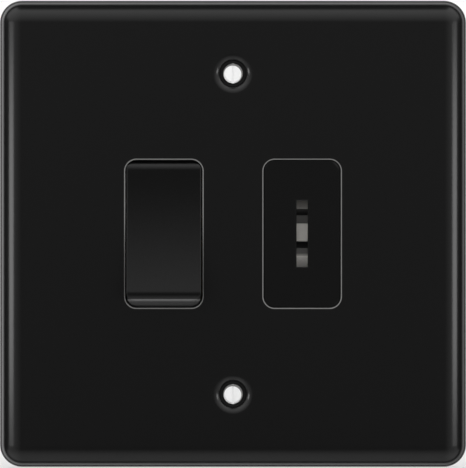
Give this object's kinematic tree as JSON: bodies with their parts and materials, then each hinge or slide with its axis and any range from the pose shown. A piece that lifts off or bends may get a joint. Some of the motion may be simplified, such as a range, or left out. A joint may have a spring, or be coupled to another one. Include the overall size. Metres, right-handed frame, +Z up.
{
  "type": "key switch",
  "caption": "Square black wall plate with a rocker switch and a key-operated switch side by side, fixed by slotted screws",
  "frame": {"origin": "middle of the plate, on the plane of the wall that its rim stands on", "axes": "+X to the right and +Z up as seen from the front; the front faces -Y and +Y points into the wall box"},
  "size_m": [0.088, 0.031, 0.088],
  "materials": {
    "plate_black": "matt powder coat",
    "rocker_black": "satin black moulding",
    "cover_black": "satin black moulding",
    "housing_white": "white moulding",
    "plated_steel": "bright plated",
    "galvanised": "galvanised",
    "zinc_screw": "zinc plated",
    "brass": "bright drawn",
    "copper_alloy": "rolled copper alloy",
    "silver": "silver contact",
    "cast_grey": "die cast, dull plated",
    "nylon": "natural nylon",
    "spring_steel": "spring wire"
  },
  "bodies": {
    "mounting": {"front_plate": "plate_black", "plate_screws": "plated_steel", "grid_frame": "galvanised", "earth_terminal": "brass", "earth_screw": "zinc_screw", "rocker_cover": "cover_black", "rocker_housing": "housing_white", "rocker_common_terminal": "brass", "rocker_terminal_l1": "brass", "rocker_terminal_l2": "brass", "rocker_fixed_tips": "silver", "rocker_terminal_screws": "zinc_screw", "key_cover": "cover_black", "key_housing": "housing_white", "key_common_terminal": "brass", "key_terminal_l1": "brass", "key_terminal_l2": "brass", "key_fixed_tips": "silver", "key_terminal_screws": "zinc_screw"},
    "rocker_lever": {"rocker": "rocker_black", "rocker_spring": "spring_steel"},
    "rocker_plunger_body": {"rocker_plunger": "nylon"},
    "rocker_blade_body": {"rocker_blade": "copper_alloy", "rocker_blade_tips": "silver"},
    "key_lever": {"key_rocker": "cast_grey", "key_spring": "spring_steel"},
    "key_plunger_body": {"key_plunger": "nylon"},
    "key_blade_body": {"key_blade": "copper_alloy", "key_blade_tips": "silver"}
  },
  "joints": [
    {"name": "rocker_tilt", "type": "hinge", "parent": "mounting", "child": "rocker_lever", "pos_m": [-0.013, 0.0012, 0], "axis": [1, 0, 0], "range_deg": [0, 10]},
    {"name": "rocker_plunger_slide", "type": "slide", "parent": "rocker_lever", "child": "rocker_plunger_body", "axis": [0, 0.9962, -0.0872], "range_m": [-0.001, 0], "stiffness_N_per_m": 300, "springref_m": 0.002, "deforming": ["rocker_spring"]},
    {"name": "rocker_blade_swing", "type": "hinge", "parent": "mounting", "child": "rocker_blade_body", "pos_m": [-0.013, 0.0112, 0], "axis": [1, 0, 0], "range_deg": [-16, 0]},
    {"name": "key_tilt", "type": "hinge", "parent": "mounting", "child": "key_lever", "pos_m": [0.013, 0.0012, 0], "axis": [1, 0, 0], "range_deg": [0, 10]},
    {"name": "key_plunger_slide", "type": "slide", "parent": "key_lever", "child": "key_plunger_body", "axis": [0, 0.9962, -0.0872], "range_m": [-0.001, 0], "stiffness_N_per_m": 300, "springref_m": 0.002, "deforming": ["key_spring"]},
    {"name": "key_blade_swing", "type": "hinge", "parent": "mounting", "child": "key_blade_body", "pos_m": [0.013, 0.0112, 0], "axis": [1, 0, 0], "range_deg": [-16, 0]}
  ],
  "couplings": [
    {"joint": "rocker_blade_swing", "follows": "rocker_tilt", "ratio": -1.6},
    {"joint": "key_blade_swing", "follows": "key_tilt", "ratio": -1.6}
  ]
}
